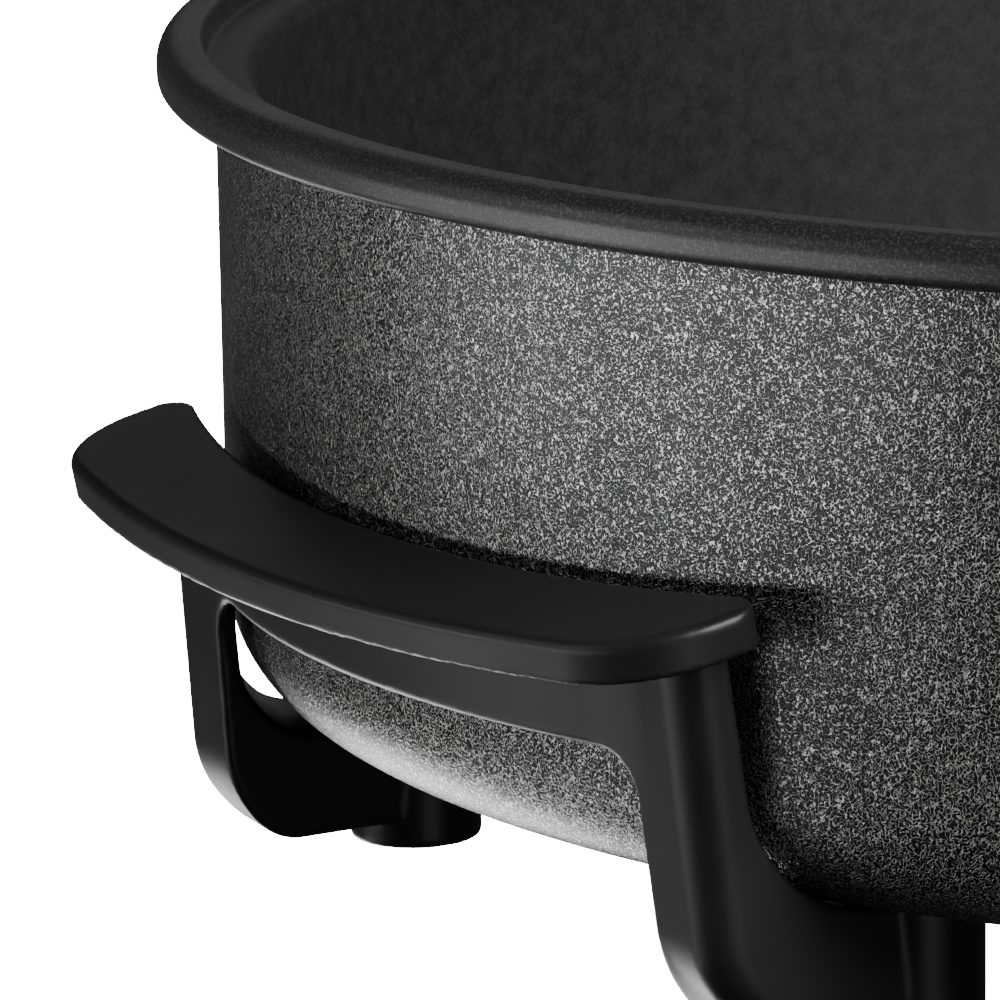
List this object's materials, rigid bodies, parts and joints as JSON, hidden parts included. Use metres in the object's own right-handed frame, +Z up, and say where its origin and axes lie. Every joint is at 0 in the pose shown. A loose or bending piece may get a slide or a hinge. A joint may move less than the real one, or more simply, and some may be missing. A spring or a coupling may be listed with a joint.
{
  "type": "electric pizza pan",
  "caption": "Deep round electric pan with rolled rim, arc-shaped handles on J-shaped legs, an element under the floor and a plug-in temperature control with dial and probe.",
  "frame": {"origin": "centre of the bounding box at the level of the feet; the pan's own axis is at Y = +0.06485 m", "axes": "+Z up along the pan's axis, X along the line through both handles, -Y towards the plug-in control"},
  "size_m": [0.398, 0.5024, 0.1103],
  "materials": {
    "pan_coat": "die-cast aluminium, black: coarse wrinkle powder coat outside, smooth non-stick coat on the rim and inside",
    "handle_moulding": "black phenolic moulding, finely grained satin",
    "control_moulding": "black heat-resistant moulding, finely grained",
    "dial_moulding": "black moulding, satin gloss",
    "dark_steel": "dark oxidised steel",
    "cover_steel": "pressed steel sheet",
    "bright_steel": "bright zinc-plated steel",
    "brass": "plain brass",
    "ceramic": "off-white ceramic",
    "rubber": "black rubber",
    "lens": "clear red",
    "lamp_glass": "clear glass bulb"
  },
  "bodies": {
    "root": {"cover_screw_1": "bright_steel", "cover_screw_2": "bright_steel", "cover_screw_3": "bright_steel", "earth_contact": "brass", "element_cover": "cover_steel", "foot_pad_left_1": "rubber", "foot_pad_left_2": "rubber", "foot_pad_right_1": "rubber", "foot_pad_right_2": "rubber", "foot_screw_left_1": "bright_steel", "foot_screw_left_2": "bright_steel", "foot_screw_right_1": "bright_steel", "foot_screw_right_2": "bright_steel", "foot_washer_left_1": "bright_steel", "foot_washer_left_2": "bright_steel", "foot_washer_right_1": "bright_steel", "foot_washer_right_2": "bright_steel", "grip_plate_left": "handle_moulding", "grip_plate_right": "handle_moulding", "heating_element": "dark_steel", "inlet_housing": "control_moulding", "inlet_screw_1": "bright_steel", "inlet_screw_2": "bright_steel", "leg_frame_left": "handle_moulding", "leg_frame_right": "handle_moulding", "pan_body": "pan_coat", "terminal_pin_1": "brass", "terminal_pin_2": "brass", "terminal_seal_1": "ceramic", "terminal_seal_2": "ceramic"},
    "control": {"control_base": "control_moulding", "control_cover": "control_moulding", "lamp_lens": "lens", "lamp_body": "lamp_glass", "probe": "bright_steel", "contact_clip_1": "brass", "contact_clip_2": "brass", "earth_clip": "brass", "switch_frame": "dark_steel", "switch_stack": "ceramic", "stack_spacer": "ceramic", "bimetal_strip": "brass", "contact_arm": "brass", "terminal_block": "ceramic", "cord_gland": "rubber", "control_screw_1": "bright_steel", "control_screw_2": "bright_steel", "control_screw_3": "bright_steel", "control_screw_4": "bright_steel"},
    "dial": {"control_dial": "dial_moulding", "dial_shaft": "bright_steel"}
  },
  "joints": [
    {"name": "control_pull", "type": "slide", "parent": "root", "child": "control", "axis": [0, -1, 0], "range_m": [0, 0.095]},
    {"name": "dial_turn", "type": "hinge", "parent": "control", "child": "dial", "pos_m": [0, -0.19715, 0.0415], "axis": [0, 0, 1], "range_deg": [-270, 0]}
  ]
}
